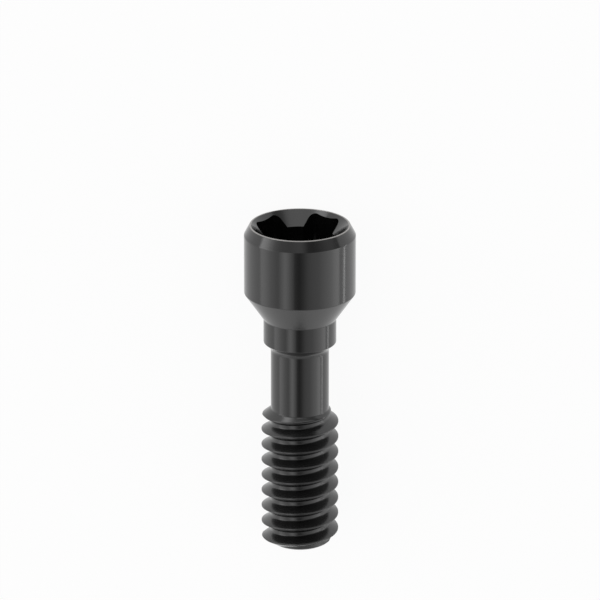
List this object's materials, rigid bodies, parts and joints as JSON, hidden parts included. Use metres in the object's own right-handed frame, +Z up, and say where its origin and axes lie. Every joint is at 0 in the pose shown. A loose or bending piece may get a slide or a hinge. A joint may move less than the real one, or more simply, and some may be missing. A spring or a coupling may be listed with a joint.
{
  "type": "dental abutment screw",
  "caption": "Tiny black socket-head screw with a conical seat, a collar, a thin plain shank and a fine thread; it clamps an abutment to a dental implant.",
  "frame": {"origin": "centre of the footprint of the screw as it lies on its side, on the floor plane", "axes": "+Y runs towards the head, which lies about 4 degrees high; -Y towards the threaded end; +X across the screw; +Z up"},
  "size_m": [0.0024, 0.0074, 0.0025],
  "materials": {
    "black_coated_titanium": "satin black hard coating over turned titanium"
  },
  "bodies": {
    "root": {"abutment_screw": "black_coated_titanium"}
  },
  "joints": []
}
